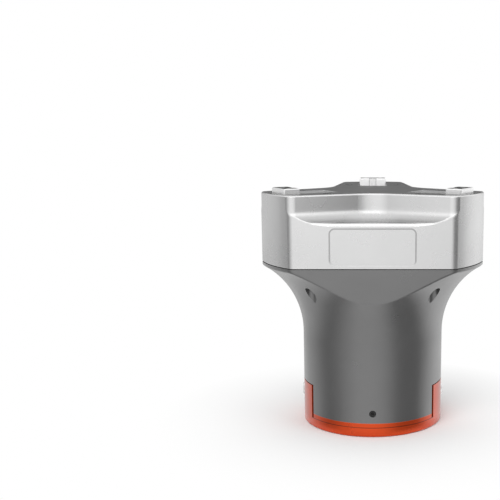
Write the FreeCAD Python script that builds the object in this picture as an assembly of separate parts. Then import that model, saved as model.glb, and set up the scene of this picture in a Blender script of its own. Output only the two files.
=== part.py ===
import FreeCAD, Part
import math
import os
from FreeCAD import Vector

# Three-jaw centric electric gripper, in millimetres.
# The origin is the centre of the mounting face, +Z points at the jaws and -Y is the front.

# Outer form
tube_r = 37.5             # radius of the round neck
lobe_r = 59.3             # radius of the three lobe ends
face_dist = 43.4          # axis to each flat face
corner_r = 4.8            # rounding between a lobe end and a flat face
flare_r = 43.6            # radius of the curve that opens the neck into the head
lip_h = 1.9               # straight band at the top of the neck
ring_h = 4.85             # height of the adapter's ring
band_h = 2.35             # visible band of the base flange
neck_h = 81.3             # from the base flange's band to the seam
gasket_t = 0.5            # gasket in the seam
gasket_inset = 0.45       # gasket inside the outline, seen as a dark line
head_h = 35.75            # head housing, gasket to deck
rim_r = 0.9               # rounding of the head's top rim
lip_r = 1.2               # rounding under the neck's lip

# Pockets in the three flat faces
pocket_h = 13.5           # pocket floor to deck
pocket_apex = 26.2        # axis to the point where the two walls would meet
pocket_angle = 22.8       # slope of each wall against the face, degrees
pocket_apex_r = 19.0      # rounding where the two walls meet
pocket_cove_r = 7.0       # rounding between wall and floor
pocket_edge_r = 1.5       # rounding of the front edge
pocket_step = 0.02        # pockets end this far outside the lobes

# Blank panel recess on the front face
panel_w = 42.4
panel_h = 18.2
panel_lift = 1.5          # above the head's lower edge
panel_r = 2.6
panel_depth = 0.3

# Adapter and base flange
bolt_pcd = 50.0           # robot wrist pattern
bolt_count = 4
bolt_hole_r = 3.3
bolt_head_r = 5.6
bolt_head_h = 6.5
pilot_r = 15.75           # centring bore
dowel_r = 3.0
ear_half_angle = 30.5     # each ear spans this much either side of the X axis, degrees
ear_gap_angle = 2.7       # slit beside each ear, degrees
ear_h = 22.5              # top of the ears
ear_t = 2.9
ear_edge_r = 0.5
ear_slit = 0.5            # above each ear
cup_floor = 8.65          # floor of the base flange
cup_depth = 10.5
cup_wall = 4.4
pilot_relief = 5.0        # depth of the relief over the centring bore
pilot_step = 1.0          # relief outside the bore
side_screw_z = 15.5
side_head_r = 3.75
side_head_h = 2.2
side_head_proud = 0.8
side_screw_r = 2.0
side_screw_len = 6.0
set_screw_z = 12.4
set_screw_r = 1.8
set_screw_sink = 0.8
set_socket_depth = 1.2

# Neck shell and its screws
shell_wall = 3.0
neck_screw_out = 8.0      # circle of the four screws, outside the tube
neck_screw_offset = 17.0  # degrees either side of a lobe
neck_web = 5.75           # material over each screw head
cbore_r = 2.9

# Screw sizes: thread radius, head radius, head height
m3_r = 1.5
m3_head_r = 2.75
m3_head_h = 3.0
m3_csk_r = 2.8
m25_r = 1.25
m25_head_r = 2.25
m2_r = 1.0
m2_head_r = 1.7
m2_head_h = 1.9
m2_csk_r = 1.85
csk_sink = 0.1            # countersunk heads lie this far below the surface

# How deep each screw goes into its thread
neck_bite = 6.0
plate_bite = 7.0
rail_bite = 4.0
rack_bite = 4.5
jaw_bite = 2.8
through_bite = 3.0
mount_bite = 4.0

# Head interior
rim_w = 1.8               # silver rim round the deck plate
plate_t = 4.0
spigot_h = 4.0            # head's locating spigot inside the neck
spigot_wall = 3.0
bed_t = 9.5               # bed that carries the guide rails
bed_lift = 7.75           # bed's underside above the head's lower edge
hub_floor = 3.7           # bed thickness under the pinion
hub_r = 21.0              # round cavity over the pinion
channel_gap = 0.5         # beside the carriage, in each radial channel
slot_gap = 0.4            # beside the jaw, in each slot of the deck
slot_len = 30.9
slot_r = 1.2
end_gap = 0.8             # steps from jaw to carriage to channel at the outer end
plate_screw_x = 34.0
plate_screw_y = 13.5

# Linear guides and jaws; X is radial in these values
rail_w = 9.0
rail_h = 6.0
rail_groove = 0.8         # depth of the side grooves
rail_groove_low = 2.4     # the grooves' edges, above the bed
rail_groove_high = 4.5
rail_seat = 3.3           # seats of the rail's screws, above the bed
rail_screw_margin = 4.8   # end screws from the rail's ends
carriage_len = 28.0
carriage_half = 10.2
carriage_lift = 1.5       # carriage's underside above the bed
carriage_h = 8.5
carriage_edge = 0.6       # bevel along the carriage
cap_t = 2.5               # polymer end caps of the carriage
jaw_setback = 4.5         # outer end of the jaw inside the lobe, when open
jaw_len = 8.8
jaw_half = 7.5
jaw_proud = 2.6
jaw_edge = 0.45
jaw_notch_r = 1.75
jaw_hole_r = 1.25
jaw_hole_y = 4.0
jaw_hole_depth = 7.0
foot_len = 13.5
foot_t = 3.5
foot_half = 5.6
foot_screw_gap = 6.0
travel = 10.0             # each jaw, from open to closed

# Rack and output pinion
dedendum = 1.25           # depth of all tooth roots below the pitch line, in modules
pinion_module = 0.6
pinion_teeth = 24
pinion_angle = 20.0
rack_back = 2.0           # rack thickness behind the tooth roots
rack_hold = 13.7          # length of the rack under the carriage
rack_h = 6.6
rack_lead = 0.63          # bar before the first tooth's middle, in pitches
pinion_drop = 0.1         # pinion's underside below the rack's
rack_screw_margin = 3.0
rack_screw_y = 7.9

# Planetary gearbox
gear_module = 1.0
sun_teeth = 12
planet_teeth = 12
ring_teeth = sun_teeth + 2 * planet_teeth
gear_angle = 25.0
ring_addendum = 0.85      # shortened internal teeth, in modules
gear_w = 7.5
ring_wall = 3.75
ring_w = 10.0
carrier_t = 4.0
carrier_rim = 1.7         # carrier outside its pins
planet_pin_r = 1.5
planet_gap = 0.5          # between planets and carrier
bearing_land = 1.4        # carrier's shoulder under the output bearing
shaft_r = 4.0
shaft_shoulder = 1.2      # the shoulder outside the shaft
stub_r = 3.0
stub_shoulder = 0.6
front_pilot_r = 11.0
mount_screw_out = 4.5     # mounting screws outside the pilot
through_screw_in = 2.15   # through screws inside the gearbox's outside
front_t = 8.5             # front cap
through_sink = 2.2

# Motor
motor_r = 24.0
motor_wall = 2.0
motor_plate_t = 6.0
motor_cavity = 28.0
motor_cap_t = 4.5
motor_cap_lip = 1.5       # the cap's step inside the can
rear_bearing_sink = 3.0   # rear bearing's seat below the can's edge
bearing_wall = 2.5        # wall round the rear bearing
stator_len = 18.0
stator_bore = 13.6
stator_slots = 9
stator_yoke = 3.4
tooth_w = 4.2
shoe_t = 1.2
shoe_half_angle = 16.0
coil_w = 3.3
coil_end = 2.4
coil_edge_r = 1.4
coil_gap_out = 1.2        # coil to yoke
coil_gap_in = 1.5         # coil to bore
magnet_t = 1.75
magnet_half_gap = 1.0     # half of the gap between magnets, degrees
magnet_count = 8
air_gap = 0.4
rotor_shaft_r = 3.0
shaft_step = 0.8          # thicker parts of the shaft
shaft_room = 1.2          # round the shaft where it passes a wall
sensor_magnet_t = 1.5

# Bearings: bore radius, outer radius, width
out_bearing = (4.0, 8.0, 5.0)
top_bearing = (3.0, 5.0, 3.0)
motor_bearing = (3.0, 6.5, 5.0)
race_t = 1.0
shield_t = 0.4

# Electronics and the connector
board_t = 1.6
board_inset = 5.0         # encoder board inside the motor's outside
encoder_standoff = 2.9
control_gap = 5.5         # control board inside the shell
control_standoff = 9.9
control_spacer_in = 2.2   # its spacers inside the motor's outside
encoder_spacer_in = 3.0   # spacers of the other board inside its edge
inner_turn = 30.0         # first of three spacers or gearbox screws, from the X axis
standoff_r = 2.5
stud_bite = 2.5
sensor_size = 5.0
sensor_t = 0.6
processor_size = 12.0
processor_t = 1.2
driver_size = 6.0
driver_t = 2.0
driver_pitch = 9.0
capacitor_r = 3.5
capacitor_h = 6.0
connector_z = 38.0
connector_thread_r = 7.9
connector_flange_r = 10.0
connector_flange_t = 2.0
connector_barrel_r = 6.0
connector_reach = 7.0
connector_bore_r = 4.7
connector_pins = 8
connector_pin_ring = 2.75
connector_pin_r = 0.4
connector_pin_in = 1.5    # pins end inside the mouth
connector_pin_back = 2.0  # pins behind the insulator
connector_back = 1.0      # insulator behind the socket
connector_room = 0.9      # between the pins and the motor
connector_sink = 0.6      # its seat below the tube's surface, measured at the tube's middle
grip_count = 5            # grooves round the barrel
grip_start = 1.6
grip_pitch = 1.0
grip_w = 0.45
grip_depth = 0.35
nut_wall = 2.6            # thread to the nut's corners
nut_t = 2.5

# Clearances
fit = 0.05                # close and running fits, radial
loose = 0.3               # free gap between pieces that pass each other
pass_gap = 0.15           # round a screw in its through hole
tap_extra = 0.5           # blind holes go this much deeper than their screws
gear_backlash = 0.08      # along the pitch circle
near = 0.001              # places closer than this count as one
over = 1.0                # a cutting shape runs this far past the surface it cuts

# Heights worked out from the sizes above
shell_z = ring_h + band_h
seam_z = shell_z + neck_h
neck_top_z = seam_z - gasket_t / 2
head_z = seam_z + gasket_t / 2
deck_z = head_z + head_h
pocket_z = deck_z - pocket_h
jaw_top_z = deck_z + jaw_proud
plate_z = deck_z - plate_t
bed_under_z = head_z + bed_lift
bed_z = bed_under_z + bed_t
hub_z = bed_under_z + hub_floor
carriage_z = bed_z + carriage_lift
carriage_top_z = carriage_z + carriage_h
rack_z = carriage_z - rack_h
lip_z = seam_z - lip_h
flare_z = lip_z - math.sqrt(flare_r ** 2 - (tube_r + flare_r - lobe_r) ** 2)
shell_in_r = tube_r - shell_wall
neck_screw_ring = tube_r + neck_screw_out

# Radial places along each arm, with the jaws open
jaw_start = lobe_r - jaw_setback - jaw_len
slot_end = jaw_start + jaw_len + end_gap
slot_start = slot_end - slot_len
slot_half = jaw_half + slot_gap
carriage_end = jaw_start + jaw_len + end_gap
carriage_start = carriage_end - carriage_len
channel_end = carriage_end + end_gap
channel_half = carriage_half + channel_gap
rail_start = carriage_start - travel / 2
rail_end = channel_end - loose
rail_screw_xs = (rail_start + rail_screw_margin, (rail_start + rail_end) / 2,
                 rail_end - rail_screw_margin)

# Rack and pinion
rack_pitch = math.pi * pinion_module
rack_pitch_y = pinion_module * pinion_teeth / 2
rack_tip_y = rack_pitch_y - pinion_module
rack_root_y = rack_pitch_y + dedendum * pinion_module
rack_teeth = math.ceil(travel / rack_pitch) + 3
rack_start = -rack_lead * rack_pitch
rack_end = carriage_start + cap_t + rack_hold
rack_screw_xs = (carriage_start + cap_t + rack_screw_margin, rack_end - rack_screw_margin)
pinion_z = rack_z - pinion_drop
pinion_top_z = pinion_z + rack_h - 2 * loose

# Gearbox, which hangs from the bed's underside
front_z = bed_under_z - front_t
ring_z = front_z - ring_w
gears_z = ring_z + 2 * loose
carrier_z = gears_z + gear_w + planet_gap
out_bearing_z = carrier_z + carrier_t + bearing_land
orbit_r = gear_module * (sun_teeth + planet_teeth) / 2
carrier_r = orbit_r + planet_pin_r + carrier_rim
gearbox_r = gear_module * (ring_teeth / 2 + dedendum) + ring_wall
mount_screw_ring = front_pilot_r + mount_screw_out
through_ring = gearbox_r - through_screw_in

# Motor, which hangs under the ring gear, and the boards under it
motor_room_z = ring_z - motor_plate_t
motor_low_z = motor_room_z - motor_cavity
motor_under_z = motor_low_z - motor_cap_t
stator_z = motor_low_z + (motor_cavity - stator_len) / 2
rear_bearing_z = motor_low_z - rear_bearing_sink
shaft_end_z = motor_under_z - loose
encoder_board_r = motor_r - board_inset
encoder_spacer_ring = encoder_board_r - encoder_spacer_in
control_board_r = shell_in_r - control_gap
control_spacer_ring = motor_r - control_spacer_in
socket_back = motor_r + connector_room + connector_pin_back + connector_back

# Angles of the arms, of the flat faces between them, of the planets and the through screws
arms = (90.0, 210.0, 330.0)
faces = (270.0, 30.0, 150.0)
planet_angles = (0.0, 120.0, 240.0)
through_angles = (45.0, 135.0, 225.0, 315.0)


def cyl(r, z0, z1, x=0.0, y=0.0):
    """Upright cylinder between two heights."""
    return Part.makeCylinder(r, z1 - z0, Vector(x, y, z0))


def tube(r_out, r_in, z0, z1):
    """Upright tube about the main axis."""
    return cyl(r_out, z0, z1).cut(cyl(r_in, z0, z1))


def box(x0, x1, y0, y1, z0, z1):
    """Block between two corners."""
    return Part.makeBox(x1 - x0, y1 - y0, z1 - z0, Vector(x0, y0, z0))


def rod(r, x0, x1, y, z):
    """Cylinder along X."""
    return Part.makeCylinder(r, x1 - x0, Vector(x0, y, z), Vector(1, 0, 0))


def turned(shape, angle):
    """Copy turned about the main axis."""
    copy = shape.copy()
    copy.rotate(Vector(0, 0, 0), Vector(0, 0, 1), angle)
    return copy


def around(shape, angles):
    """One copy at each angle about the main axis."""
    return [turned(shape, angle) for angle in angles]


def evenly(count, start=0.0):
    """Angles of an even pattern round a circle."""
    return [start + 360.0 * i / count for i in range(count)]


def moved(shape, x, y, z=0.0):
    """Copy shifted by a vector."""
    copy = shape.copy()
    copy.translate(Vector(x, y, z))
    return copy


def joined(shapes):
    """One solid from touching solids."""
    return shapes[0].multiFuse(shapes[1:]).removeSplitter()


def cut_all(body, tools):
    """Body with every tool taken away."""
    return body.cut(Part.makeCompound(tools)) if tools else body


def polar(r, angle):
    """Point at a radius and an angle in degrees."""
    return (r * math.cos(math.radians(angle)), r * math.sin(math.radians(angle)))


def prism(points, z0, z1):
    """Upright prism over a polygon of (x, y) points."""
    ring = [Vector(x, y, z0) for x, y in points]
    return Part.Face(Part.makePolygon(ring + ring[:1])).extrude(Vector(0, 0, z1 - z0))


def slab_x(points, x0, x1):
    """Prism along X over a polygon of (y, z) points."""
    ring = [Vector(x0, y, z) for y, z in points]
    return Part.Face(Part.makePolygon(ring + ring[:1])).extrude(Vector(x1 - x0, 0, 0))


def sector(r, half_angle, z0, z1):
    """Wedge about the +X direction, longer than the radius it cuts."""
    reach = 2 * r
    return prism([(0, 0), polar(reach, -half_angle), polar(reach, half_angle)], z0, z1)


def upright_edges(shape, r_min, r_max):
    """Vertical edges whose distance from the axis lies in a range."""
    found = []
    for edge in shape.Edges:
        b = edge.BoundBox
        upright = b.XLength < near and b.YLength < near
        if upright and r_min < math.hypot(b.XMin, b.YMin) < r_max:
            found.append(edge)
    return found


def level_edges(shape, z, r_max):
    """Edges that lie in a level plane, within a distance from the axis."""
    found = []
    for edge in shape.Edges:
        b = edge.BoundBox
        p = edge.valueAt(edge.FirstParameter)
        if abs(b.ZMin - z) < near and b.ZLength < near and math.hypot(p.x, p.y) < r_max:
            found.append(edge)
    return found


# Outline with three flat faces and three round lobe ends


def lobed_prism(inset, z0, z1):
    """Outline of the neck and the lower head, moved inwards by an inset."""
    dist = face_dist - inset
    triangle = [polar(2 * dist, angle) for angle in arms]
    body = cyl(lobe_r - inset, z0, z1).common(prism(triangle, z0, z1))
    corners = upright_edges(body, dist, 2 * lobe_r)
    return body.makeFillet(corner_r - inset, corners)


def waisted_prism(inset, z0, z1, outer_r=lobe_r):
    """Outline of the upper head, whose three sides are drawn in to a rounded point."""
    slope = math.tan(math.radians(pocket_angle))
    apex = pocket_apex - inset / math.cos(math.radians(pocket_angle))
    end_r = outer_r - inset
    points = []
    for angle in sorted(faces):
        out = polar(1.0, angle)
        for side in (-outer_r, 0.0, outer_r):
            n = apex + slope * abs(side)
            points.append((n * out[0] - side * out[1], n * out[1] + side * out[0]))
    body = prism(points, z0, z1).common(cyl(end_r, z0, z1))
    tips = upright_edges(body, end_r - over, end_r + over)
    body = body.makeFillet(corner_r - inset, tips)
    return body.makeFillet(pocket_apex_r + inset, upright_edges(body, 0.0, face_dist))


# Gears


def involute(angle):
    """Involute function of an angle in radians."""
    return math.tan(angle) - angle


def tooth_half_angle(r, pitch_r, teeth, pressure, thicken):
    """Half of a tooth's angle at a radius, in radians."""
    base_r = pitch_r * math.cos(pressure)
    lean = involute(pressure) - involute(math.acos(min(1.0, base_r / r)))
    return math.pi / (2 * teeth) + thicken / (2 * pitch_r) + lean


def toothed_face(teeth, module, pressure_deg, r_low, r_high, thicken, phase):
    """Flat face bounded by involute teeth between two radii; a tooth is centred on the phase."""
    pitch_r = module * teeth / 2
    pressure = math.radians(pressure_deg)
    start_r = max(r_low, pitch_r * math.cos(pressure) + 1e-6)
    radii = (start_r, (start_r + r_high) / 2, r_high)
    halves = [tooth_half_angle(r, pitch_r, teeth, pressure, thicken) for r in radii]
    step = 2 * math.pi / teeth

    def at(r, angle):
        return Vector(r * math.cos(angle), r * math.sin(angle), 0)

    edges = []
    for i in range(teeth):
        middle = math.radians(phase) + i * step
        up = [at(r, middle - half) for r, half in zip(radii, halves)]
        down = [at(r, middle + half) for r, half in zip(radii, halves)][::-1]
        foot = at(r_low, middle - halves[0])
        heel = at(r_low, middle + halves[0])
        gap = at(r_low, middle + step / 2)
        next_foot = at(r_low, middle + step - halves[0])
        if start_r > r_low + 1e-5:
            edges.append(Part.makeLine(foot, up[0]))
        edges.append(Part.Arc(up[0], up[1], up[2]).toShape())
        edges.append(Part.Arc(up[2], at(r_high, middle), down[0]).toShape())
        edges.append(Part.Arc(down[0], down[1], down[2]).toShape())
        if start_r > r_low + 1e-5:
            edges.append(Part.makeLine(down[2], heel))
        edges.append(Part.Arc(heel, gap, next_foot).toShape())
    return Part.Face(Part.Wire(edges))


def spur_gear(teeth, module, pressure, z0, z1, phase):
    """External gear without a bore."""
    pitch_r = module * teeth / 2
    face = toothed_face(teeth, module, pressure, pitch_r - dedendum * module, pitch_r + module,
                        -gear_backlash / 2, phase)
    face.translate(Vector(0, 0, z0))
    return face.extrude(Vector(0, 0, z1 - z0))


# Screws, made upright with the head's seat at the origin and the thread pointing down


def hex_socket(across, depth, top):
    """Hexagonal key socket that opens upwards."""
    return prism([polar(across / math.sqrt(3), a) for a in evenly(6)], top - depth, top)


def cap_screw(r, length, head_r, head_h):
    """Cylinder head screw."""
    body = cyl(head_r, 0, head_h).fuse(cyl(r, -length, 0))
    return body.cut(hex_socket(head_r, 0.5 * head_h, head_h))


def flat_screw(r, length, head_r):
    """Countersunk screw; the top of its head is at zero."""
    head = Part.makeCone(r, head_r, head_r - r, Vector(0, 0, r - head_r))
    body = head.fuse(cyl(r, -length, r - head_r))
    return body.cut(hex_socket(1.1 * r, 0.6 * (head_r - r) + 0.4, 0))


def flat_seat(r, head_r, z, depth, x, y):
    """Countersunk hole for a flat screw of a thread radius, with its mouth at a height."""
    wide = head_r + fit
    mouth = cyl(wide, z - csk_sink, z, x, y)
    cone = Part.makeCone(r + fit, wide, head_r - r, Vector(x, y, z - csk_sink + r - head_r))
    return mouth.fuse([cone, cyl(r + fit, z - depth, z - csk_sink, x, y)])


# Adapter, base flange and their screws


def side_seats(r, x0, x1):
    """Radial holes through the ears, on both sides."""
    return [rod(r, x0, x1, 0, side_screw_z), rod(r, -x1, -x0, 0, side_screw_z)]


def ear_notches(z0, z1):
    """Room for both ears outside the base flange's plug, with the slit beside them."""
    wedge = sector(tube_r, ear_half_angle + ear_gap_angle, z0, z1)
    shell = tube(tube_r + over, shell_in_r - fit, z0, z1)
    notch = wedge.common(shell)
    return around(notch, (0.0, 180.0))


def mount_adapter():
    """Ring that bolts to the robot's wrist, with two ears that hold the gripper."""
    ear = sector(tube_r, ear_half_angle, 0, ear_h)
    ear = ear.common(tube(tube_r, tube_r - ear_t, 0, ear_h))
    body = joined([tube(tube_r, pilot_r, 0, ring_h)] + around(ear, (0.0, 180.0)))
    bottom = level_edges(body, 0.0, tube_r + over)
    body = body.makeFillet(ear_edge_r, [e for e in bottom if e.BoundBox.XLength > pilot_r])
    bolt = cyl(bolt_hole_r, 0, ring_h, bolt_pcd / 2, 0)
    dowel = cyl(dowel_r + fit, 0, ring_h, 0, -bolt_pcd / 2)
    holes = around(bolt, evenly(bolt_count, 180.0 / bolt_count)) + [dowel]
    holes += side_seats(side_screw_r + pass_gap, 0, 2 * tube_r)
    seat = tube_r + side_head_proud - side_head_h
    holes += side_seats(side_head_r + 2 * fit, seat, 2 * tube_r)
    return cut_all(body, holes)


def side_screws():
    """Two button head screws through the ears."""
    seat = tube_r + side_head_proud - side_head_h
    head = cyl(side_head_r, 0, side_head_h)
    head = head.makeFillet(0.7 * side_head_h, level_edges(head, side_head_h, tube_r))
    screw = head.fuse(cyl(side_screw_r, -side_screw_len, 0))
    screw = screw.cut(hex_socket(0.65 * side_head_r, 0.6 * side_head_h, side_head_h))
    screw.rotate(Vector(0, 0, 0), Vector(0, 1, 0), 90)
    screw = moved(screw, seat, 0, side_screw_z)
    return around(screw, (0.0, 180.0))


def base_flange():
    """Bottom of the gripper: a rim between adapter and shell, and a cup inside the shell."""
    plug_r = shell_in_r - fit
    floor_z = ring_h + cup_floor
    top_z = floor_z + cup_depth
    body = joined([cyl(tube_r, ring_h, shell_z), cyl(plug_r, ring_h, top_z)])
    tools = ear_notches(ring_h, shell_z)
    tools.append(cyl(plug_r - cup_wall, floor_z, top_z))
    tools.append(cyl(pilot_r + pilot_step, ring_h, ring_h + pilot_relief))
    relief = cyl(bolt_head_r, ring_h, ring_h + bolt_head_h, bolt_pcd / 2, 0)
    tools += around(relief, evenly(bolt_count, 180.0 / bolt_count))
    tools += side_seats(side_screw_r + fit, plug_r - cup_wall - over, tube_r)
    dimple = rod(set_screw_r + fit, plug_r - set_screw_sink, tube_r, 0, set_screw_z)
    tools += around(dimple, (90.0, 270.0))
    return cut_all(body, tools)


def set_screws():
    """Grub screws that lock the shell to the base flange, front and rear."""
    x0 = shell_in_r - set_screw_sink
    x1 = tube_r - set_screw_sink
    screw = rod(set_screw_r, x0, x1, 0, set_screw_z)
    socket = hex_socket(set_screw_r, set_socket_depth, 0)
    socket.rotate(Vector(0, 0, 0), Vector(0, 1, 0), 90)
    screw = screw.cut(moved(socket, x1, 0, set_screw_z))
    return around(screw, (90.0, 270.0))


# Neck


def neck_screw_angles():
    """Two screws at the rear lobe, and one towards the front at each front lobe."""
    return [arms[0] - neck_screw_offset, arms[0] + neck_screw_offset,
            arms[1] + neck_screw_offset, arms[2] - neck_screw_offset]


def neck_shell():
    """Round tube that flares into the three-lobed outline of the head."""
    centre_r = tube_r + flare_r
    reach = lobe_r + over
    drop = math.sqrt(flare_r ** 2 - (centre_r - reach) ** 2)
    half = math.asin((drop / flare_r)) / 2
    bend = Vector(centre_r - flare_r * math.cos(half), 0, flare_z + flare_r * math.sin(half))
    a = Vector(0, 0, shell_z)
    b = Vector(tube_r, 0, shell_z)
    c = Vector(tube_r, 0, flare_z)
    d = Vector(reach, 0, flare_z + drop)
    e = Vector(reach, 0, neck_top_z + over)
    f = Vector(0, 0, neck_top_z + over)
    edges = [Part.makeLine(a, b), Part.makeLine(b, c), Part.Arc(c, bend, d).toShape(),
             Part.makeLine(d, e), Part.makeLine(e, f), Part.makeLine(f, a)]
    body = Part.Face(Part.Wire(edges)).revolve(Vector(0, 0, 0), Vector(0, 0, 1), 360)
    body = body.common(lobed_prism(0.0, shell_z, neck_top_z))
    lip = [edge for edge in body.Edges if edge.BoundBox.ZLength < 1e-4
           and abs(edge.BoundBox.ZMin - lip_z) < 10 * near]
    body = body.makeFillet(lip_r, lip)
    tools = [cyl(shell_in_r, shell_z, neck_top_z)]
    tools += ear_notches(shell_z, ear_h + ear_slit)
    tools += around(rod(set_screw_r + fit, 0, 2 * tube_r, 0, set_screw_z), (90.0, 270.0))
    for angle in neck_screw_angles():
        x, y = polar(neck_screw_ring, angle)
        tools.append(cyl(cbore_r, flare_z, neck_top_z - neck_web, x, y))
        tools.append(cyl(m3_r + pass_gap, neck_top_z - neck_web, neck_top_z, x, y))
    tools.append(turned(rod(connector_thread_r + fit, 0, tube_r, 0, connector_z), 90.0))
    face_x = connector_face()
    tools.append(turned(rod(connector_flange_r + 0.5, face_x, tube_r + 5.0, 0, connector_z), 90.0))
    return cut_all(body, tools)


def neck_screws():
    """Cap screws that come up through the flare into the head."""
    screw = cap_screw(m3_r, neck_web + gasket_t + neck_bite, m3_head_r, m3_head_h)
    screw.rotate(Vector(0, 0, 0), Vector(1, 0, 0), 180)
    seat = neck_top_z - neck_web
    return [moved(screw, *polar(neck_screw_ring, a), seat) for a in neck_screw_angles()]


def seam_gasket():
    """Thin gasket between the neck and the head."""
    body = lobed_prism(gasket_inset, neck_top_z, head_z)
    holes = [cyl(m3_r + pass_gap, neck_top_z, head_z, *polar(neck_screw_ring, a))
             for a in neck_screw_angles()]
    return cut_all(body, holes + [cyl(shell_in_r + loose, neck_top_z, head_z)])


# Head


def head_outside():
    """Outer form of the head with its three pockets and rounded edges."""
    body = lobed_prism(0.0, head_z, deck_z)
    above = deck_z + over
    kept = waisted_prism(0.0, pocket_z, above, lobe_r + pocket_step)
    air = cyl(2 * lobe_r, pocket_z, above).cut(kept)
    air = air.makeFillet(pocket_cove_r, level_edges(air, pocket_z, 1.5 * lobe_r))
    body = body.cut(air)
    front = [edge for edge in body.Edges if on_flat_face(edge)
             and pocket_z - over < edge.BoundBox.ZMin and edge.BoundBox.ZMax < deck_z - over]
    body = body.makeFillet(pocket_edge_r, front)
    return body.makeFillet(rim_r, level_edges(body, deck_z, 2 * lobe_r))


def on_flat_face(edge):
    """True when every sampled point of an edge lies in one of the flat faces."""
    first = edge.FirstParameter
    span = edge.LastParameter - first
    for i in range(5):
        p = edge.valueAt(first + span * i / 4)
        reach = max(p.x * polar(1, a)[0] + p.y * polar(1, a)[1] for a in faces)
        if reach < face_dist - 20 * near:
            return False
    return True


def panel_recess():
    """Shallow rounded recess on the front face, left blank."""
    x = panel_w / 2
    z0 = head_z + panel_lift
    tool = box(-x, x, -face_dist - over, -face_dist + panel_depth, z0, z0 + panel_h)
    corners = [e for e in tool.Edges if e.BoundBox.YLength > panel_depth]
    return tool.makeFillet(panel_r, corners)


def plate_screw_spots():
    """Places of the six deck screws."""
    spots = []
    for angle in arms:
        for side in (-1, 1):
            p = turned(Part.Vertex(plate_screw_x, side * plate_screw_y, 0), angle)
            spots.append((p.X, p.Y))
    return spots


def mount_screw_spots():
    """Places of the screws that hold the gearbox under the bed."""
    return [polar(mount_screw_ring, a) for a in evenly(3, inner_turn)]


def head_housing():
    """Silver head: pockets outside, bed and channels for the drive inside."""
    spigot = tube(shell_in_r - fit, shell_in_r - fit - spigot_wall, head_z - spigot_h, head_z)
    body = joined([head_outside(), spigot])
    room_r = shell_in_r - fit - spigot_wall
    tools = [cyl(room_r, head_z - spigot_h, bed_under_z)]
    tools.append(waisted_prism(rim_w, plate_z, deck_z + over))
    tools.append(cyl(hub_r, hub_z, plate_z))
    tools.append(cyl(front_pilot_r + fit, bed_under_z, hub_z))
    channel = box(0, channel_end, -channel_half, channel_half, bed_z, plate_z)
    lane = box(0, rack_end + 2 * loose, rack_tip_y - 2 * loose, channel_half, hub_z, bed_z)
    tools += around(joined([channel, lane]), arms)
    for x in rail_screw_xs:
        tools += around(cyl(m2_r, bed_z - rail_bite - tap_extra, bed_z, x, 0), arms)
    tools += [cyl(m3_r, head_z, head_z + neck_bite + tap_extra, *polar(neck_screw_ring, a))
              for a in neck_screw_angles()]
    tools += [cyl(m3_r, plate_z - plate_bite - tap_extra, plate_z, x, y)
              for x, y in plate_screw_spots()]
    tools += [flat_seat(m3_r, m3_csk_r, hub_z, hub_floor, x, y)
              for x, y in mount_screw_spots()]
    tools.append(panel_recess())
    return cut_all(body, tools)


def top_plate():
    """Dark deck plate with three radial slots."""
    body = waisted_prism(rim_w + 2 * fit, plate_z, deck_z)
    slot = box(slot_start, slot_end, -slot_half, slot_half, plate_z, deck_z)
    slot = slot.makeFillet(slot_r, upright_edges(slot, 0, 2 * lobe_r))
    tools = around(slot, arms)
    tools += [flat_seat(m3_r, m3_csk_r, deck_z, plate_t, x, y)
              for x, y in plate_screw_spots()]
    tools.append(cyl(top_bearing[1] + fit, plate_z, plate_z + top_bearing[2]))
    tools.append(cyl(top_bearing[1] - race_t, plate_z, plate_z + top_bearing[2] + loose))
    return cut_all(body, tools)


def plate_screws():
    """Six countersunk screws in the deck."""
    screw = flat_screw(m3_r, plate_t + plate_bite - csk_sink, m3_csk_r)
    return [moved(screw, x, y, deck_z - csk_sink) for x, y in plate_screw_spots()]


# Linear guides


def rail_section(gap, z_low, z_high):
    """Half-symmetric guide section with side grooves, widened by a gap."""
    half = rail_w / 2 + gap
    waist = half - rail_groove
    low = bed_z + rail_groove_low - gap
    high = bed_z + rail_groove_high + gap
    side = [(half, z_low), (half, low), (waist, low + rail_groove),
            (waist, high - rail_groove), (half, high), (half, z_high)]
    return side + [(-y, z) for y, z in side[::-1]]


def guide_rail():
    """Grooved rail along +X with counterbored holes."""
    body = slab_x(rail_section(0.0, bed_z, bed_z + rail_h), rail_start, rail_end)
    tools = []
    for x in rail_screw_xs:
        tools.append(cyl(m2_r + pass_gap, bed_z, bed_z + rail_h, x, 0))
        tools.append(cyl(m2_head_r + 2 * fit, bed_z + rail_seat, bed_z + rail_h, x, 0))
    return cut_all(body, tools)


def rail_screws():
    """Screws that hold one rail on the bed."""
    screw = cap_screw(m2_r, rail_seat + rail_bite, m2_head_r, m2_head_h)
    return [moved(screw, x, 0, bed_z + rail_seat) for x in rail_screw_xs]


def carriage_section(z1):
    """Outside of the carriage across the rail."""
    y = carriage_half
    c = carriage_edge
    return [(-y, carriage_z + c), (-y + c, carriage_z), (y - c, carriage_z), (y, carriage_z + c),
            (y, z1 - c), (y - c, z1), (-y + c, z1), (-y, z1 - c)]


def carriage():
    """Steel block that runs on the rail; the end caps cover its ends."""
    x0 = carriage_start + cap_t
    x1 = carriage_end - cap_t
    body = slab_x(carriage_section(carriage_top_z), x0, x1)
    groove = slab_x(rail_section(fit, bed_z, bed_z + rail_h + loose), x0, x1)
    tools = [groove]
    for x in rack_screw_xs:
        tools.append(flat_seat(m2_r, m2_csk_r, carriage_top_z, carriage_h,
                               x, rack_screw_y))
    for x in foot_screw_xs():
        tools.append(cyl(m25_r, carriage_top_z - jaw_bite - tap_extra, carriage_top_z, x, 0))
    return cut_all(body, tools)


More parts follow.
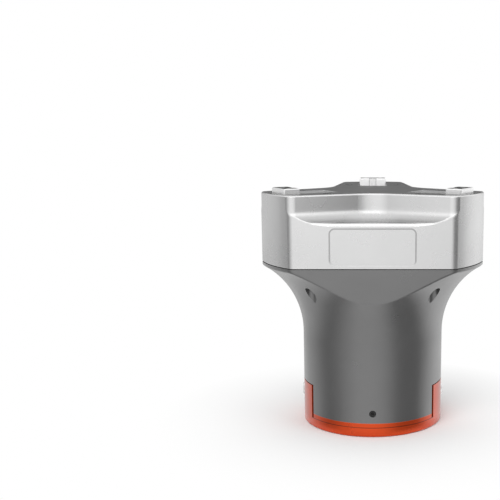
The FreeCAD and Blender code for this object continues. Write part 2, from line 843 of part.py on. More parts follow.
def carriage_caps():
    """Polymer caps with the wipers at both ends of the carriage."""
    caps = []
    groove = rail_section(2 * fit, bed_z, bed_z + rail_h + loose)
    for x0 in (carriage_start, carriage_end - cap_t):
        cap = slab_x(carriage_section(carriage_top_z - loose), x0, x0 + cap_t)
        caps.append(cap.cut(slab_x(groove, x0, x0 + cap_t)))
    return caps


# Rack, jaw and their screws


def rack():
    """Toothed bar beside the rail, screwed under the carriage."""
    back_y = rack_root_y + rack_back
    lean = math.tan(math.radians(pinion_angle))
    flat = rack_pitch / 4 - gear_backlash / 4
    tip_half = flat - pinion_module * lean
    root_half = flat + dedendum * pinion_module * lean
    points = [(rack_start, back_y), (rack_start, rack_root_y)]
    for i in range(rack_teeth):
        x = i * rack_pitch
        points += [(x - root_half, rack_root_y), (x - tip_half, rack_tip_y),
                   (x + tip_half, rack_tip_y), (x + root_half, rack_root_y)]
    bar_x = (rack_teeth - 0.5) * rack_pitch
    points += [(bar_x, rack_root_y), (bar_x + rack_root_y - rack_tip_y, rack_tip_y),
               (rack_end, rack_tip_y), (rack_end, back_y)]
    low = prism(points, rack_z, carriage_z - loose)
    pad = box(carriage_start + cap_t, rack_end, rack_tip_y, back_y, carriage_z - loose, carriage_z)
    bottom = carriage_z - rack_bite - tap_extra
    holes = [cyl(m2_r + fit, bottom, carriage_z, x, rack_screw_y) for x in rack_screw_xs]
    return cut_all(joined([low, pad]), holes)


def rack_screws():
    """Countersunk screws through the carriage into the rack."""
    screw = flat_screw(m2_r, carriage_h + rack_bite - csk_sink, m2_csk_r)
    return [moved(screw, x, rack_screw_y, carriage_top_z - csk_sink) for x in rack_screw_xs]


def foot_screw_xs():
    """Places of the two screws in the jaw's foot."""
    x = jaw_start - foot_len / 2
    return (x - foot_screw_gap / 2, x + foot_screw_gap / 2)


def jaw():
    """Base jaw: a foot on the carriage and an upright that stands out of the slot."""
    x0 = jaw_start
    x1 = x0 + jaw_len
    upright = box(x0, x1, -jaw_half, jaw_half, carriage_top_z, jaw_top_z)
    edges = [e for e in upright.Edges if e.BoundBox.ZMax > jaw_top_z - near]
    upright = upright.makeChamfer(jaw_edge, edges)
    foot = box(x0 - foot_len, x0 + over, -foot_half, foot_half,
               carriage_top_z, carriage_top_z + foot_t)
    foot = foot.makeFillet(foot_half / 2, upright_edges(foot, 0, math.hypot(x0, foot_half)))
    body = joined([upright, foot])
    tools = [cyl(jaw_notch_r, carriage_top_z + foot_t, jaw_top_z, x0, 0)]
    for side in (-1, 1):
        tools.append(cyl(jaw_hole_r, jaw_top_z - jaw_hole_depth, jaw_top_z,
                         x0 + jaw_len / 2, side * jaw_hole_y))
    for x in foot_screw_xs():
        tools.append(flat_seat(m25_r, m25_head_r, carriage_top_z + foot_t, foot_t, x, 0))
    return cut_all(body, tools)


def jaw_screws():
    """Countersunk screws through the jaw's foot into the carriage."""
    screw = flat_screw(m25_r, foot_t + jaw_bite - csk_sink, m25_head_r)
    return [moved(screw, x, 0, carriage_top_z + foot_t - csk_sink) for x in foot_screw_xs()]


# Gearbox


def gearbox_front():
    """Front cap with the output bearing's seat and the pilot that centres it in the bed."""
    top_z = hub_z - loose
    body = joined([cyl(gearbox_r, front_z, bed_under_z), cyl(front_pilot_r, bed_under_z, top_z)])
    tools = [cyl(carrier_r + 3 * loose, front_z, carrier_z + carrier_t + loose)]
    tools.append(cyl(out_bearing[1] - race_t - loose, front_z, out_bearing_z))
    tools.append(cyl(out_bearing[1] + fit, out_bearing_z, top_z))
    for angle in through_angles:
        x, y = polar(through_ring, angle)
        tools.append(cyl(m2_r + pass_gap, front_z, bed_under_z, x, y))
        tools.append(cyl(m2_head_r + 2 * fit, bed_under_z - through_sink, bed_under_z, x, y))
    bottom = bed_under_z - mount_bite - tap_extra
    tools += [cyl(m3_r, bottom, bed_under_z, x, y) for x, y in mount_screw_spots()]
    return cut_all(body, tools)


def ring_gear():
    """Gearbox housing with internal teeth."""
    pitch_r = gear_module * ring_teeth / 2
    face = toothed_face(ring_teeth, gear_module, gear_angle,
                        pitch_r - ring_addendum * gear_module, pitch_r + dedendum * gear_module,
                        gear_backlash / 2, 180.0 / ring_teeth)
    face.translate(Vector(0, 0, ring_z))
    body = cyl(gearbox_r, ring_z, front_z).cut(face.extrude(Vector(0, 0, ring_w)))
    hole = cyl(m2_r + pass_gap, ring_z, front_z, through_ring, 0)
    return cut_all(body, around(hole, through_angles))


def gearbox_screws():
    """Long screws that clamp the front cap, the ring gear and the motor together."""
    length = front_t - through_sink + ring_w + through_bite
    screw = cap_screw(m2_r, length, m2_head_r, m2_head_h)
    screw = moved(screw, through_ring, 0, bed_under_z - through_sink)
    return around(screw, through_angles)


def mount_screws():
    """Countersunk screws through the bed into the gearbox's front cap."""
    screw = flat_screw(m3_r, hub_floor + mount_bite - csk_sink, m3_csk_r)
    return [moved(screw, x, y, hub_z - csk_sink) for x, y in mount_screw_spots()]


def sun_gear():
    """Sun gear on the motor shaft."""
    body = spur_gear(sun_teeth, gear_module, gear_angle, gears_z, gears_z + gear_w, 0.0)
    return body.cut(cyl(rotor_shaft_r + fit / 2, gears_z, gears_z + gear_w))


def planet_gear(angle):
    """Planet gear in mesh with the sun and the ring."""
    phase = angle + 180.0 + 180.0 / planet_teeth
    body = spur_gear(planet_teeth, gear_module, gear_angle, gears_z, gears_z + gear_w, phase)
    body = body.cut(cyl(planet_pin_r + fit, gears_z, gears_z + gear_w))
    return moved(body, *polar(orbit_r, angle))


def planet_carrier():
    """Carrier disc with the output shaft."""
    top = carrier_z + carrier_t
    stub_top = plate_z + top_bearing[2] - loose
    body = joined([cyl(carrier_r, carrier_z, top),
                   cyl(shaft_r + shaft_shoulder, top, out_bearing_z),
                   cyl(shaft_r, out_bearing_z, pinion_top_z),
                   cyl(stub_r + stub_shoulder, pinion_top_z, plate_z - loose),
                   cyl(stub_r, plate_z - loose, stub_top)])
    pin = cyl(planet_pin_r + fit / 2, carrier_z, top, orbit_r, 0)
    return cut_all(body, around(pin, planet_angles))


def planet_pins():
    """Pins that carry the planets."""
    pin = cyl(planet_pin_r, gears_z, carrier_z + carrier_t, orbit_r, 0)
    return around(pin, planet_angles)


def output_pinion():
    """Pinion that drives all three racks."""
    body = spur_gear(pinion_teeth, pinion_module, pinion_angle, pinion_z, pinion_top_z,
                     180.0 / pinion_teeth)
    collar = cyl(shaft_r + race_t, out_bearing_z + out_bearing[2], pinion_z)
    return joined([body, collar]).cut(cyl(shaft_r + fit / 2, front_z, pinion_top_z))


# Motor


def motor_can():
    """Motor housing: a tube with the front plate and the front bearing's seat."""
    body = cyl(motor_r, motor_low_z, ring_z)
    tools = [cyl(motor_r - motor_wall, motor_low_z, motor_room_z)]
    tools.append(cyl(motor_bearing[1] + fit, motor_room_z, motor_room_z + motor_bearing[2]))
    tools.append(cyl(rotor_shaft_r + shaft_room, motor_room_z, ring_z))
    hole = cyl(m2_r, ring_z - through_bite - tap_extra, ring_z, through_ring, 0)
    return cut_all(body, tools + around(hole, through_angles))


def motor_cap():
    """Rear cover of the motor with the rear bearing's seat."""
    boss_z = rear_bearing_z + motor_bearing[2]
    body = joined([cyl(motor_r, motor_under_z, motor_low_z),
                   cyl(motor_r - motor_wall - fit, motor_low_z, motor_low_z + motor_cap_lip),
                   cyl(motor_bearing[1] + bearing_wall, motor_low_z, boss_z)])
    tools = [cyl(motor_bearing[1] + fit, rear_bearing_z, boss_z)]
    tools.append(cyl(rotor_shaft_r + shaft_room, motor_under_z, rear_bearing_z))
    tools += [cyl(m2_r, motor_under_z, motor_under_z + stud_bite + tap_extra, x, y)
              for x, y in encoder_spots() + control_spots()]
    return cut_all(body, tools)


def stator_core():
    """Laminated stator with one tooth per slot."""
    z1 = stator_z + stator_len
    out_r = motor_r - motor_wall - fit
    yoke_r = out_r - stator_yoke
    lap = shoe_t / 2
    shoe = tube(stator_bore + shoe_t, stator_bore, stator_z, z1)
    shoe = shoe.common(sector(stator_bore, shoe_half_angle, stator_z, z1))
    tooth = box(stator_bore + lap, yoke_r + lap, -tooth_w / 2, tooth_w / 2, stator_z, z1)
    angles = evenly(stator_slots)
    return joined([tube(out_r, yoke_r, stator_z, z1)] + around(shoe, angles)
                  + around(tooth, angles))


def windings():
    """One coil round each stator tooth."""
    out_r = motor_r - motor_wall - fit - stator_yoke - coil_gap_out
    in_r = stator_bore + coil_gap_in
    half = tooth_w / 2 + coil_w / 2
    coil = box(in_r, out_r, -half, half, stator_z - coil_end, stator_z + stator_len + coil_end)
    coil = coil.makeFillet(coil_edge_r, [e for e in coil.Edges if e.BoundBox.XLength > near])
    gap = fit / 2
    core = box(in_r - over, out_r + over, -tooth_w / 2 - gap, tooth_w / 2 + gap,
               stator_z - gap, stator_z + stator_len + gap)
    return around(coil.cut(core), evenly(stator_slots))


def rotor_shaft():
    """Motor shaft with the rotor's core."""
    core_r = stator_bore - air_gap - magnet_t
    step_r = rotor_shaft_r + shaft_step
    return joined([cyl(rotor_shaft_r, shaft_end_z, gears_z + gear_w),
                   cyl(core_r, stator_z, stator_z + stator_len),
                   cyl(step_r, stator_z + stator_len, motor_room_z - loose),
                   cyl(step_r, rear_bearing_z + motor_bearing[2] + loose, stator_z)])


def rotor_magnets():
    """Curved magnets bonded round the rotor's core."""
    r1 = stator_bore - air_gap
    r0 = r1 - magnet_t + fit / 2
    z1 = stator_z + stator_len
    half = 180.0 / magnet_count - magnet_half_gap
    magnet = tube(r1, r0, stator_z, z1).common(sector(r1, half, stator_z, z1))
    return around(magnet, evenly(magnet_count))


def encoder_magnet():
    """Small magnet on the end of the motor shaft."""
    return cyl(rotor_shaft_r, shaft_end_z - sensor_magnet_t, shaft_end_z)


# Bearings


def bearing_places():
    """Size and lower face of each bearing, with the body that its inner ring turns with."""
    return [(out_bearing, out_bearing_z, "output"), (top_bearing, plate_z, "output"),
            (motor_bearing, motor_room_z, "motor"), (motor_bearing, rear_bearing_z, "motor")]


def outer_ring(size, z):
    """Outer ring with the two shields."""
    bore, out_r, width = size
    race_r = out_r - race_t
    shield_r = bore + race_t + 2 * fit
    shell = tube(out_r, shield_r, z, z + width)
    return shell.cut(tube(race_r, shield_r - near, z + shield_t, z + width - shield_t))


def inner_ring(size, z):
    """Inner ring of a bearing."""
    bore, out_r, width = size
    return tube(bore + race_t, bore + fit / 2, z, z + width)


def inner_rings(owner):
    """Inner rings that turn with one shaft."""
    return [inner_ring(size, z) for size, z, body in bearing_places() if body == owner]


def outer_rings():
    """Outer rings that stay in the housings."""
    return [outer_ring(size, z) for size, z, body in bearing_places()]


# Electronics and the connector


def encoder_spots():
    """Places of the encoder board's spacers."""
    return [polar(encoder_spacer_ring, a) for a in evenly(3)]


def control_spots():
    """Places of the control board's spacers."""
    return [polar(control_spacer_ring, a) for a in evenly(3, inner_turn)]


def chip(size, x, y, z0, z1):
    """Square component between two heights."""
    return box(x - size / 2, x + size / 2, y - size / 2, y + size / 2, z0, z1)


def encoder_board():
    """Round board under the motor with the angle sensor."""
    z1 = motor_under_z - encoder_standoff
    sensor = chip(sensor_size, 0, 0, z1, z1 + sensor_t)
    holes = [cyl(m2_r + fit, z1 - board_t, z1, x, y) for x, y in encoder_spots()]
    return cut_all(joined([cyl(encoder_board_r, z1 - board_t, z1), sensor]), holes)


def control_board():
    """Round board with the motor's electronics on its underside."""
    z1 = motor_under_z - control_standoff
    z0 = z1 - board_t
    row = control_board_r / 2
    parts = [cyl(control_board_r, z0, z1), chip(processor_size, 0, 0, z0 - processor_t, z0)]
    parts += [chip(driver_size, i * driver_pitch, -row, z0 - driver_t, z0) for i in (-1, 0, 1)]
    parts += [cyl(capacitor_r, z0 - capacitor_h, z0, i * driver_pitch, row) for i in (-1, 0, 1)]
    holes = [cyl(m2_r + fit, z0, z1, x, y) for x, y in control_spots()]
    return cut_all(joined(parts), holes)


def standoff(length):
    """Hexagonal spacer that hangs from zero, with a threaded stud at both ends."""
    body = prism([polar(standoff_r, a) for a in evenly(6)], -length, 0)
    return body.fuse(cyl(m2_r - fit, -length - board_t, stud_bite))


def standoffs():
    """Spacers that hold both boards under the motor."""
    high = standoff(encoder_standoff)
    low = standoff(control_standoff)
    return ([moved(high, x, y, motor_under_z) for x, y in encoder_spots()]
            + [moved(low, x, y, motor_under_z) for x, y in control_spots()])


def connector_face():
    """Distance of the connector's seat from the axis."""
    return tube_r - connector_sink


def connector_socket():
    """Metal shell of the panel socket at the rear."""
    x0 = connector_face()
    z = connector_z
    x1 = x0 + connector_flange_t
    body = joined([rod(connector_flange_r, x0, x1, 0, z),
                   rod(connector_barrel_r, x1, x1 + connector_reach, 0, z),
                   rod(connector_thread_r, socket_back, x0, 0, z)])
    grooves = []
    for i in range(grip_count):
        x = x1 + grip_start + i * grip_pitch
        groove = rod(connector_flange_r, x, x + grip_w, 0, z)
        grooves.append(groove.cut(rod(connector_barrel_r - grip_depth, x, x + grip_w, 0, z)))
    hole = rod(connector_bore_r, socket_back, x1 + connector_reach, 0, z)
    return turned(cut_all(body, grooves + [hole]), 90.0)


def connector_insert():
    """Insulator with its contact pins."""
    x0 = socket_back - connector_back
    x1 = connector_face() + connector_flange_t
    body = rod(connector_bore_r - fit / 2, x0, x1, 0, connector_z)
    pin_x0 = x0 - connector_pin_back
    pin_x1 = x1 + connector_reach - connector_pin_in
    spots = [(0.0, 0.0)] + [polar(connector_pin_ring, a) for a in evenly(connector_pins - 1)]
    pins = [rod(connector_pin_r, pin_x0, pin_x1, y, connector_z + z) for y, z in spots]
    return turned(joined([body] + pins), 90.0)


def connector_nut():
    """Hexagonal nut inside the shell."""
    corner = connector_thread_r + nut_wall
    x1 = math.sqrt(shell_in_r ** 2 - corner ** 2) - fit
    nut = prism([polar(corner, a) for a in evenly(6)], x1 - nut_t, x1)
    nut.rotate(Vector(0, 0, 0), Vector(0, 1, 0), 90)
    nut = moved(nut, 0, 0, connector_z)
    nut = nut.cut(rod(connector_thread_r + fit / 2, x1 - nut_t, x1, 0, connector_z))
    return turned(nut, 90.0)


def write(name, shapes):
    """One file for each node; a list is a group of separate solids."""
    shape = Part.makeCompound(shapes) if isinstance(shapes, list) else shapes
    shape.exportStep("parts/" + name + ".step")


def build():
    """Every node of the gripper."""
    os.makedirs("parts", exist_ok=True)
    write("mount_adapter", mount_adapter())
    write("adapter_side_screws", side_screws())
    write("base_flange", base_flange())
    write("shell_set_screws", set_screws())
    write("neck_shell", neck_shell())
    write("neck_screws", neck_screws())
    write("seam_gasket", seam_gasket())
    write("head_housing", head_housing())
    write("top_plate", top_plate())
    write("top_plate_screws", plate_screws())
    write("gearbox_front", gearbox_front())
    write("ring_gear", ring_gear())
    write("gearbox_screws", gearbox_screws())
    write("gearbox_mount_screws", mount_screws())
    write("sun_gear", sun_gear())
    write("planet_carrier", planet_carrier())
    write("planet_pins", planet_pins())
    write("output_pinion", output_pinion())
    write("motor_can", motor_can())
    write("motor_cap", motor_cap())
    write("stator_core", stator_core())
    write("stator_windings", windings())
    write("rotor_shaft", rotor_shaft())
    write("rotor_magnets", rotor_magnets())
    write("encoder_magnet", encoder_magnet())
    write("bearing_outer_rings", outer_rings())
    write("output_bearing_inner_rings", inner_rings("output"))
    write("motor_bearing_inner_rings", inner_rings("motor"))
    write("encoder_board", encoder_board())
    write("control_board", control_board())
    write("board_standoffs", standoffs())
    write("connector_socket", connector_socket())
    write("connector_insert", connector_insert())
    write("connector_nut", connector_nut())
    for i, angle in enumerate(planet_angles, 1):
        write("planet_gear_%d" % i, planet_gear(angle))
    arm_parts = {
        "guide_rail": guide_rail(), "rail_screws": rail_screws(), "carriage": carriage(),
        "carriage_caps": carriage_caps(), "rack": rack(), "jaw": jaw(),
        "carriage_screws": rack_screws() + jaw_screws(),
    }
    for i, angle in enumerate(arms, 1):
        for name, part in arm_parts.items():
            group = around_group(part, angle)
            write("%s_%d" % (name, i), group)


def around_group(part, angle):
    """A solid or a list of solids turned to an arm's angle."""
    if isinstance(part, list):
        return [turned(piece, angle) for piece in part]
    return turned(part, angle)


build()
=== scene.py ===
import math

import bpy
import numpy as np
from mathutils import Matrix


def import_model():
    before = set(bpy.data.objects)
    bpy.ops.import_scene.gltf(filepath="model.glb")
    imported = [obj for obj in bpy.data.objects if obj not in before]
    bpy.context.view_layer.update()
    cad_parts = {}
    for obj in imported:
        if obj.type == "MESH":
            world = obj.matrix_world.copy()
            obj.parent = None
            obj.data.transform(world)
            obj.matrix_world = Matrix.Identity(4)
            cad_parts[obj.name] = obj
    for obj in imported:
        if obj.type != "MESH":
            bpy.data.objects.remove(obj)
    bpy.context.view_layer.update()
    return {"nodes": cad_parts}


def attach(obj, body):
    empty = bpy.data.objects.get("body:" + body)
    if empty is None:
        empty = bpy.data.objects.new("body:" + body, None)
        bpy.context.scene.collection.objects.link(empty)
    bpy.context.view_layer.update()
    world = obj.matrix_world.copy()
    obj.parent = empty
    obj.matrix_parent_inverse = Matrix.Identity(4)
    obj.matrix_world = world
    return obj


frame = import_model()
NODES = frame["nodes"]

# A millimetre, how many of them make a metre, a plain refractive index, and the arms' angles
MM = 0.001
PER_MM = 1000.0
PLAIN_IOR = 1.5
ARMS = (90.0, 210.0, 330.0)

# The recess in the head's front face
PANEL_FACE = 42.9 * MM
PANEL_HALF_W = 21.2 * MM
PANEL_HALF_H = 9.1 * MM
PANEL_CORNER = 2.6 * MM
PANEL_Z = 99.35 * MM

# The pockets: height and outer edge of the floor, and height of the hollow rounding behind it
POCKET_Z = 111.02 * MM
POCKET_RIM = 41.9 * MM
HOLLOW_H = 7.5 * MM

# The orange ring's height and half the width of its ears
RING_H = 4.85 * MM
EAR_Y = 19.1 * MM

# The jaws: inner face, notch and the two threaded holes in the top
JAW_FACE = 46.0 * MM
NOTCH_R = 1.75 * MM
HOLE_OUT = 50.4 * MM
HOLE_SIDE = 4.0 * MM
HOLE_R = 1.25 * MM
HOLE_TOP = 127.1 * MM

# The threads: pitch, turns, height of the ridge, start below the jaw's top, gap to the wall,
# points round the hole, and rows of points in a turn
THREAD_PITCH = 0.5 * MM
THREAD_TURNS = 13
THREAD_RIDGE = 0.17 * MM
THREAD_START = 0.3 * MM
THREAD_GAP = 0.01 * MM
THREAD_COLUMNS = 24
THREAD_ROWS = 6


# Node trees


class Sheet:
    """A node tree with short calls for adding and joining nodes."""

    def __init__(self, tree):
        self.tree = tree
        self.column = 0

    def add(self, kind, settings=None, **inputs):
        """A node of a kind, with its settings and its inputs; an input is a value or a socket.

        An underscore in an input's name stands for a space.
        """
        node = self.tree.nodes.new("ShaderNode" + kind)
        self.column += 1
        node.location = (180 * (self.column % 12), -240 * (self.column // 12))
        for key, value in (settings or {}).items():
            setattr(node, key, value)
        for key, value in inputs.items():
            self.feed(node.inputs[key.replace("_", " ")], value)
        return node

    def feed(self, socket, value):
        """Puts a value or another node's output on an input."""
        if isinstance(value, bpy.types.NodeSocket):
            self.tree.links.new(value, socket)
        else:
            socket.default_value = value

    def maths(self, operation, first, second=None, third=None):
        """One Math node; returns its output."""
        node = self.add("Math", {"operation": operation})
        for socket, value in zip(node.inputs, (first, second, third)):
            if value is not None:
                self.feed(socket, value)
        return node.outputs[0]

    def times(self, first, *others):
        """The product of values."""
        for other in others:
            first = self.maths("MULTIPLY", first, other)
        return first

    def apart(self, first, second):
        """How far two values lie apart."""
        return self.maths("ABSOLUTE", self.maths("SUBTRACT", first, second))

    def split(self, vector):
        """The three coordinates of a vector."""
        return self.add("SeparateXYZ", Vector=vector).outputs

    def length(self, x, y):
        """Length of a line from its two parts at right angles."""
        squares = [self.maths("POWER", value, 2.0) for value in (x, y)]
        return self.maths("SQRT", self.maths("ADD", *squares))

    def ramp(self, value, low, high, to_low=0.0, to_high=1.0):
        """A value taken from one range to another, and kept inside it."""
        return self.add("MapRange", Value=value, From_Min=low, From_Max=high,
                        To_Min=to_low, To_Max=to_high).outputs[0]

    def steps(self, value, stops):
        """A grey that follows the stops along a value from 0 to 1."""
        node = self.add("ValToRGB", Fac=value)
        scale = node.color_ramp
        scale.interpolation = "EASE"
        scale.elements[0].position = stops[0][0]
        scale.elements[1].position = stops[-1][0]
        for place, _ in stops[1:-1]:
            scale.elements.new(place)
        for element, (_, level) in zip(scale.elements, stops):
            element.color = grey(level)
        return node.outputs[0]

    def blend(self, factor, first, second):
        """A mix of two colours, which are inputs 6 and 7 and output 2 of the node."""
        node = self.add("Mix", {"data_type": "RGBA"}, Factor=factor)
        self.feed(node.inputs[6], first)
        self.feed(node.inputs[7], second)
        return node.outputs[2]

    def mix(self, factor, first, second):
        """A mix of two shaders."""
        node = self.add("MixShader", Fac=factor)
        self.feed(node.inputs[1], first)
        self.feed(node.inputs[2], second)
        return node.outputs[0]

    def surface(self, shader, kind="OutputMaterial"):
        """Makes a shader the tree's result."""
        self.feed(self.add(kind).inputs["Surface"], shader)

    def place(self, scale=(1.0, 1.0, 1.0), turn=0.0):
        """Object coordinates, stretched and turned about the upright axis."""
        coords = self.add("TexCoord").outputs["Object"]
        spin = (0.0, 0.0, math.radians(turn))
        return self.add("Mapping", Vector=coords, Rotation=spin, Scale=scale).outputs[0]

    def noise(self, vector, scale, detail=2.0, rough=0.5):
        """Soft noise between 0 and 1."""
        node = self.add("TexNoise", Vector=vector, Scale=scale, Detail=detail, Roughness=rough)
        return node.outputs["Fac"]


def new_group(name, inputs, outputs):
    """An empty shader group; returns its sheet, its inputs and the node that takes its outputs."""
    tree = bpy.data.node_groups.new(name, "ShaderNodeTree")
    for label, kind, value in inputs:
        socket = tree.interface.new_socket(label, in_out="INPUT", socket_type="NodeSocket" + kind)
        if value is not None:
            socket.default_value = value
    for label, kind in outputs:
        tree.interface.new_socket(label, in_out="OUTPUT", socket_type="NodeSocket" + kind)
    sheet = Sheet(tree)
    entry = tree.nodes.new("NodeGroupInput").outputs
    leave = tree.nodes.new("NodeGroupOutput").inputs
    return sheet, entry, leave


def make_grain():
    """Fine blasted grain with a slow drift of its depth."""
    sheet, entry, leave = new_group(
        "fine grain",
        [("Size", "Float", 0.2), ("Vector", "Vector", None)],
        [("Height", "Float"), ("Fleck", "Float")])
    scale = sheet.maths("DIVIDE", PER_MM, entry["Size"])
    fine = sheet.noise(entry["Vector"], scale, 3.0, 0.6)
    drift = sheet.noise(entry["Vector"], sheet.times(scale, 0.13))
    height = sheet.maths("ADD", sheet.times(fine, 0.75), sheet.times(drift, 0.25))
    sheet.feed(leave["Height"], height)
    sheet.feed(leave["Fleck"], sheet.ramp(fine, 0.35, 0.65))
    return sheet.tree


def make_patches():
    """Large soft patches, as where a surface was handled or polished unevenly."""
    sheet, entry, leave = new_group(
        "soft patches",
        [("Low", "Float", 0.3), ("High", "Float", 0.5), ("Size", "Float", 30.0),
         ("Vector", "Vector", None)],
        [("Value", "Float")])
    scale = sheet.maths("DIVIDE", PER_MM, entry["Size"])
    cloud = sheet.noise(entry["Vector"], scale, 3.0, 0.55)
    sheet.feed(leave["Value"], sheet.ramp(cloud, 0.3, 0.7, entry["Low"], entry["High"]))
    return sheet.tree


def make_edge():
    """Mask of the outer edges, from how far a rounded normal leaves the true one."""
    sheet, entry, leave = new_group(
        "edge wear and highlight",
        [("Width", "Float", 0.0004), ("Vector", "Vector", None)],
        [("Mask", "Float")])
    rounded = sheet.add("Bevel", {"samples": 4}, Radius=entry["Width"]).outputs[0]
    true = sheet.add("NewGeometry").outputs["Normal"]
    turn = sheet.add("VectorMath", {"operation": "DOT_PRODUCT"})
    sheet.feed(turn.inputs[0], rounded)
    sheet.feed(turn.inputs[1], true)
    mask = sheet.ramp(turn.outputs["Value"], 0.995, 0.9)
    breakup = sheet.noise(entry["Vector"], 900.0, 3.0)
    sheet.feed(leave["Mask"], sheet.times(mask, sheet.ramp(breakup, 0.25, 0.6, 0.45)))
    return sheet.tree


def make_rings():
    """Fine turning marks: rings about the upright axis, on faces and along the wall."""
    sheet, entry, leave = new_group(
        "turning marks",
        [("Pitch", "Float", 0.15), ("Vector", "Vector", None)],
        [("Height", "Float")])
    x, y, z = sheet.split(entry["Vector"])
    along = sheet.maths("ADD", sheet.length(x, y), sheet.times(z, 0.83))
    scale = sheet.maths("DIVIDE", PER_MM, entry["Pitch"])
    line = sheet.add("CombineXYZ", X=sheet.times(along, scale)).outputs[0]
    sheet.feed(leave["Height"], sheet.noise(line, 1.0))
    return sheet.tree


GRAIN = make_grain()
PATCHES = make_patches()
EDGE = make_edge()
RINGS = make_rings()


# Finishes


def plain_material(name):
    """A material with an empty node tree."""
    material = bpy.data.materials.new(name)
    material.use_nodes = True
    material.node_tree.nodes.clear()
    return material


class Finish(Sheet):
    """A material whose Principled shader is filled step by step."""

    def __init__(self, name, metallic=0.0, coat=0.0, coat_rough=0.1):
        self.material = plain_material(name)
        super().__init__(self.material.node_tree)
        self.shader = self.add("BsdfPrincipled", Metallic=metallic, IOR=PLAIN_IOR,
                               Coat_Weight=coat, Coat_Roughness=coat_rough)
        self.surface(self.shader.outputs[0])
        self.where = self.place()

    def part_of(self, group, **inputs):
        """A shared effect with its own values."""
        return self.add("Group", {"node_tree": group}, Vector=self.where, **inputs).outputs

    def colour(self, value):
        """Base colour."""
        self.feed(self.shader.inputs["Base Color"], value)

    def rough(self, low, high, size=30.0):
        """Roughness that drifts between two values."""
        patch = self.part_of(PATCHES, Low=low, High=high, Size=size)["Value"]
        self.feed(self.shader.inputs["Roughness"], patch)

    def relief(self, height, depth_um, strength=1.0):
        """Bump of a depth in micrometres."""
        bump = self.add("Bump", Strength=strength, Distance=depth_um * 1e-6, Height=height)
        self.feed(self.shader.inputs["Normal"], bump.outputs[0])


def grey(level):
    """A neutral colour."""
    return (level, level, level, 1.0)


def blasted_metal(name, dark, light, wear_and_highlight_colour, rough, grain_mm, depth_um, edge_mm=0.35, metallic=0.9,
                  coat=(0.0, 0.0), coat_ior=PLAIN_IOR, wear_and_highlight_share=0.55, mark=None):
    """Blasted and anodised alloy with lighter edges, rubbed wear and a painted highlight in one; a
    mark changes the colour further.

    The coat goes from its first weight, where the surface faces the eye, to its second.
    """
    finish = Finish(name, metallic=metallic, coat=coat[0], coat_rough=0.22)
    if coat[0] != coat[1]:
        facing = finish.add("LayerWeight").outputs["Facing"]
        weight = finish.ramp(facing, 0.15, 0.55, coat[0], coat[1])
        finish.feed(finish.shader.inputs["Coat Weight"], weight)
        finish.feed(finish.shader.inputs["Coat IOR"], coat_ior)
    grain = finish.part_of(GRAIN, Size=grain_mm)
    cloud = finish.part_of(PATCHES, Low=0.0, High=1.0, Size=22.0)["Value"]
    speckle = finish.maths("ADD", finish.times(grain["Fleck"], 0.35), finish.times(cloud, 0.65))
    base = finish.blend(speckle, dark, light)
    # Lighter edges: rubbed wear, and on rounded edges a painted highlight as well
    wear_and_highlight = finish.part_of(EDGE, Width=edge_mm * MM)["Mask"]
    base = finish.blend(finish.times(wear_and_highlight, wear_and_highlight_share), base, wear_and_highlight_colour)
    finish.colour(mark(finish, base) if mark else base)
    finish.rough(rough[0], rough[1], 18.0)
    finish.relief(grain["Height"], depth_um, 0.6)
    return finish.material


def panel_shadow(finish, base):
    """Painted shade: a dark line along the edge of the recess in the front face, fading at its
    lower corners.

    The line follows a rounded rectangle: a point's distance to it is the length of what it lies
    outside the rectangle shrunk by the corner radius, less that radius.
    """
    x, y, z = finish.split(finish.where)
    out = []
    for value, middle, half in ((x, 0.0, PANEL_HALF_W), (z, PANEL_Z, PANEL_HALF_H)):
        out.append(finish.maths("SUBTRACT", finish.apart(value, middle), half - PANEL_CORNER))
    outer = finish.length(*[finish.maths("MAXIMUM", value, 0.0) for value in out])
    inner = finish.maths("MINIMUM", finish.maths("MAXIMUM", *out), 0.0)
    gap = finish.apart(finish.maths("ADD", outer, inner), PANEL_CORNER)
    line = finish.ramp(gap, 0.5 * MM, 0.2 * MM)
    foot = PANEL_Z - PANEL_HALF_H
    fade = finish.ramp(z, foot, foot + PANEL_CORNER)
    front = finish.maths("LESS_THAN", y, -PANEL_FACE)
    return finish.blend(finish.times(line, fade, front, 0.62), base, grey(0.2))


def upward(finish):
    """How far the surface faces up: 1 on a top, 0 on a wall and -1 on an underside."""
    return finish.split(finish.add("NewGeometry").outputs["Normal"])[2]


def threefold(finish, way):
    """Distance sideways and outwards from the nearest of three middle lines, 120 degrees apart.

    The lines run along the arms where way is 1, and through the middles of the faces where it
    is -1.
    """
    x, y, _ = finish.split(finish.where)
    turn = finish.maths("ARCTAN2", finish.times(x, way), finish.times(y, way))
    turn = finish.maths("WRAP", turn, math.radians(60), math.radians(-60))
    reach = finish.length(x, y)
    side = finish.times(reach, finish.maths("SINE", turn))
    return finish.maths("ABSOLUTE", side), finish.times(reach, finish.maths("COSINE", turn))


def pocket_floors(finish, base):
    """Floors of the pockets: painted shade, darker towards both ends, and a painted highlight along
    their outer edge.
    """
    side, out = threefold(finish, -1.0)
    z = finish.split(finish.where)[2]
    flat = finish.ramp(upward(finish), 0.4, 0.6)
    inside = finish.times(finish.maths("GREATER_THAN", z, POCKET_Z - 0.1 * MM),
                          finish.ramp(z, POCKET_Z + HOLLOW_H, POCKET_Z + HOLLOW_H - 2 * MM), flat)
    # Painted shade, strongest low in the hollow and towards the pockets' ends
    depth = finish.ramp(z, POCKET_Z + 1.0 * MM, POCKET_Z + 2.4 * MM, 0.85, 0.4)
    painted_shade = finish.times(depth, finish.ramp(side, 4 * MM, 14 * MM, 0.3, 1.0), inside)
    base = finish.blend(painted_shade, base, grey(0.4))
    # Painted highlight: a brighter band along the floor's outer edge
    edge = finish.times(finish.ramp(out, POCKET_RIM - 1.8 * MM, POCKET_RIM),
                        finish.maths("COMPARE", z, POCKET_Z, 0.3 * MM), flat, 0.75)
    return finish.blend(edge, base, grey(0.95))


